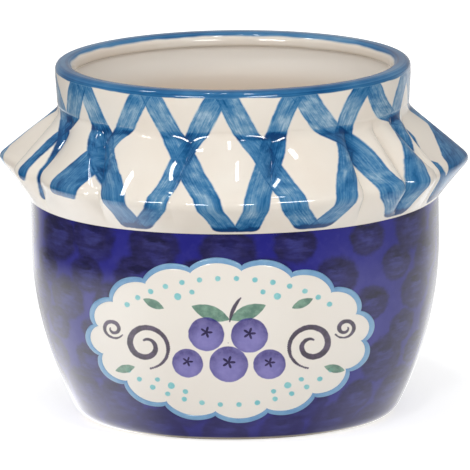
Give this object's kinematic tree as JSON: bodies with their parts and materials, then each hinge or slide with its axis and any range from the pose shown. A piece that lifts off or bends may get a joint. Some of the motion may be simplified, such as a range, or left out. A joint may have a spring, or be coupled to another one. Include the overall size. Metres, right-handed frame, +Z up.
{
  "type": "jar planter",
  "caption": "Oval glazed-ceramic planter shaped like a jam jar, with a pleated gingham cloth cover round its open mouth and a scalloped label on its front.",
  "frame": {"origin": "the middle of the underside, on the surface the pot stands on", "axes": "+Z up through the mouth, the label on the front towards -Y, +X to the right of someone looking at the label"},
  "size_m": [0.1996, 0.1594, 0.154],
  "materials": {
    "jar_glaze": "gloss",
    "collar_glaze": "gloss",
    "lip_glaze": "gloss",
    "frill_glaze": "gloss",
    "label_cream": "gloss",
    "label_blue": "gloss"
  },
  "bodies": {
    "root": {"jar_body": "jar_glaze", "neck_collar": "collar_glaze", "rim_lip": "lip_glaze", "frill": "frill_glaze", "label_panel": "label_cream", "label_border": "label_blue"}
  },
  "joints": []
}
